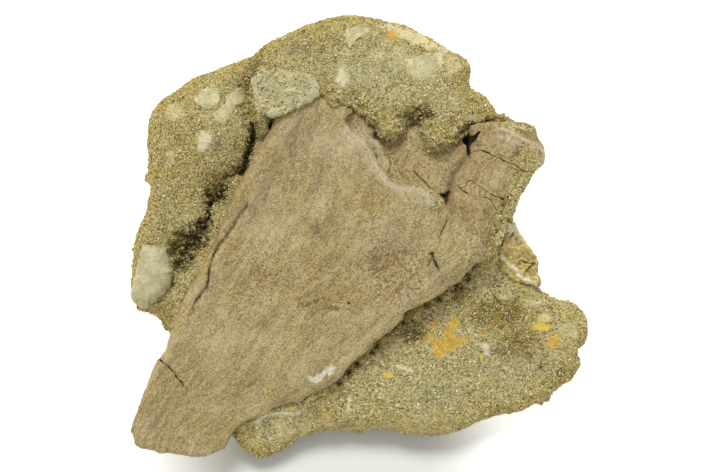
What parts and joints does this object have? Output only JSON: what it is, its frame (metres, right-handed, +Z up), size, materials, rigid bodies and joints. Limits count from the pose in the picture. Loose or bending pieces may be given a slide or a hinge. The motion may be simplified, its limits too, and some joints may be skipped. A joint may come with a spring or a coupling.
{
  "type": "fossil dinosaur bone in sandstone",
  "caption": "Broad flat dinosaur bone with a raised, cracked strut, lying half exposed in a rugged block of coarse sandstone with pale clay pebbles; a display specimen.",
  "frame": {"origin": "on the ground plane under the middle of the specimen's bounding box", "axes": "+Z up from the flat break that it lies on, +Y from the front edge to the thick back edge, +X to the right as seen from the front"},
  "size_m": [0.1854, 0.1726, 0.0699],
  "materials": {
    "sandstone": "coarse olive and ochre sand grains, matt",
    "fossil_bone": "fine-grained warm taupe, dull satin",
    "claystone": "smooth pale grey-cream, matt",
    "speckled_claystone": "pale with dark sand specks, matt",
    "flaky_claystone": "flaky pale yellow, matt"
  },
  "bodies": {
    "root": {"sandstone_matrix": "sandstone", "bone_blade": "fossil_bone", "bone_strut_middle": "fossil_bone", "bone_strut_end": "fossil_bone", "bone_wedge_chip": "fossil_bone", "clay_pebble_left": "claystone", "clay_pebble_top": "speckled_claystone", "clay_flake_right": "flaky_claystone", "clay_chip_crown": "claystone", "clay_chip_ridge": "claystone", "clay_chip_brow_round": "claystone", "clay_chip_brow_long": "claystone"}
  },
  "joints": []
}
